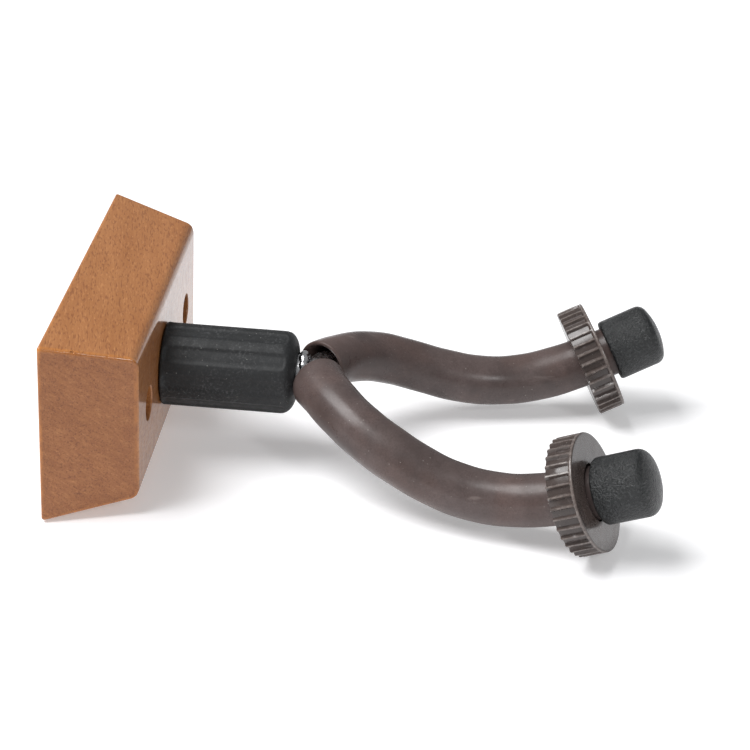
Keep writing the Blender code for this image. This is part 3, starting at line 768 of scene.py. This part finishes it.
def end_cap(side, name, material):
    """Push-on cap with a rolled back edge and a softly domed tip."""
    radius, length, dome, bore, floor = 10.1, 17.5, 3.6, 8.35, 4.6
    outer = [(bore + 0.25, -length + 0.05), (radius - 0.75, -length), (radius - 0.3, -length + 0.18),
             (radius - 0.05, -length + 0.6), (radius, -length + 1.1)]
    knee = 3.2
    outer += [(radius, -level) for level in (13, 10, 7.5)]
    start = dome + 0.9
    outer += [(radius - knee * (1 - math.cos(math.radians(angle))) * 1.1,
               -start + (start - 1.15) * math.sin(math.radians(angle))) for angle in range(0, 76, 7)]
    edge_radius, edge_level = outer[-1]
    outer += [(edge_radius * share, edge_level * share ** 2.2)
              for share in (0.85, 0.68, 0.5, 0.32, 0.15, 0.04)]
    inner = [(0.4, -floor), (bore - 0.4, -floor), (bore, -floor - 0.4), (bore, -length + 0.3)]
    segments = 96
    turns = [2 * math.pi * step / segments for step in range(segments)]
    sections = [[(value * math.cos(turn), value * math.sin(turn), level) for turn in turns]
                for value, level in outer]
    bm = loft(sections)
    bmesh.ops.delete(bm, geom=[face for face in bm.faces if len(face.verts) > 4][:1], context="FACES_ONLY")
    inside = [[(value * math.cos(turn), value * math.sin(turn), level) for turn in turns]
              for value, level in reversed(inner)]
    rings = [[bm.verts.new(point) for point in section] for section in inside]
    mouth = [vertex for vertex in bm.verts if abs(vertex.co.z + length - 0.05) < 1e-4]
    mouth = sorted(mouth, key=lambda vertex: math.atan2(vertex.co.y, vertex.co.x) % (2 * math.pi))
    for low, high in zip([mouth] + rings, rings):
        for index in range(segments):
            following = (index + 1) % segments
            bm.faces.new((low[index], low[following], high[following], high[index]))
    bm.faces.new(rings[-1])
    placement = Arm(side).end_frame(CAP_TIP[side])
    piece = add_piece("rubber_end_cap_" + name, bm, material, 50, placement)
    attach(piece, "yoke")
    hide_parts("cap_" + name)


# Stage.

def make_camera():
    """A view from the left and a little above, with the block's wall side on the left."""
    camera = bpy.data.objects.new("camera", bpy.data.cameras.new("camera"))
    bpy.context.collection.objects.link(camera)
    camera.data.sensor_width = 36
    camera.data.lens = 106.5
    camera.data.shift_x, camera.data.shift_y = -0.0288, -0.0439
    right = Vector((0.0807, -0.9957, 0.0456)).normalized()
    back = Vector((-0.8957, -0.0524, 0.4415))
    back = (back - right * back.dot(right)).normalized()
    up = back.cross(right)
    camera.matrix_world = Matrix.Translation((-0.6140, -0.1362, 0.3160)) @ Matrix(
        (right, up, back)).transposed().to_4x4()
    bpy.context.scene.camera = camera


def make_floor():
    """A pale floor that the block's lower back edge and the rings rest on."""
    surface = Material("pale_floor")
    cloud = surface.remap(surface.noise(120), 0.4, 0.7)
    colour = surface.mix(cloud, (0.90, 0.90, 0.91), (0.86, 0.86, 0.885))
    normal = surface.bump(surface.noise(8), 0.02, 0.2)
    material = surface.finish(colour, surface.remap(surface.noise(30), 0.3, 0.7, 0.45, 0.6), normal)
    surface.constant(Emission_Color=(1, 1, 1, 1), Emission_Strength=0.28)
    back_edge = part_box("base_block")[0].z
    ring_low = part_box("ring_left")[0].z
    ring_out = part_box("ring_left")[0].y
    tilt = (ring_low - back_edge) / ring_out
    bm = bmesh.new()
    half = 3.0
    clearance = 0.0006
    corners = [(-half, -half), (half, -half), (half, half), (-half, half)]
    bm.faces.new([bm.verts.new((x, y, back_edge - clearance + tilt * y)) for x, y in corners])
    bmesh.ops.scale(bm, vec=(1 / MM,) * 3, verts=bm.verts)
    floor = add_piece("floor", bm, material)


def softbox(name, location, target, size, power):
    light = bpy.data.lights.new(name, "AREA")
    light.shape = "RECTANGLE"
    light.size, light.size_y = size
    light.energy = power
    lamp = bpy.data.objects.new(name, light)
    bpy.context.collection.objects.link(lamp)
    lamp.location = location
    lamp.rotation_euler = (Vector(target) - Vector(location)).to_track_quat("-Z", "Y").to_euler()


def make_lights():
    world = bpy.data.worlds.new("studio")
    world.use_nodes = True
    world.node_tree.nodes["Background"].inputs["Color"].default_value = (0.97, 0.98, 1.0, 1)
    world.node_tree.nodes["Background"].inputs["Strength"].default_value = 0.25
    bpy.context.scene.world = world
    bpy.context.scene.view_settings.view_transform = "Standard"
    middle = (0.0, -0.09, -0.01)
    softbox("overhead", (-0.22, 0.70, 1.36), middle, (1.0, 1.0), 31.5)
    softbox("camera_side", (-0.74, -0.62, 0.62), middle, (0.13, 0.24), 1.9)


def main():
    make_camera()
    make_floor()
    make_lights()
    steel = plated_steel("bright_plated_steel", (0.80, 0.80, 0.81), 0.55)
    zinc = plated_steel("zinc_hardware", (0.68, 0.69, 0.70), 0.3)
    plastic = nylon()
    brown, black = brown_rubber(), grained_rubber()
    moulding = ring_rubber()
    wood_block(beech())
    barrel(barrel_rubber())
    yoke_metal(steel)
    clamping_hardware(zinc, plastic)
    for side, name in ((LEFT, "left"), (RIGHT, "right")):
        sleeve(side, name, brown)
        stop_ring(side, name, moulding)
        end_cap(side, name, black)
    for node, material in (("bearing_tube", zinc), ("rear_bush", plastic), ("front_bush", plastic)):
        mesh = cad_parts[node].data
        mesh.materials.clear()
        mesh.materials.append(material)


main()
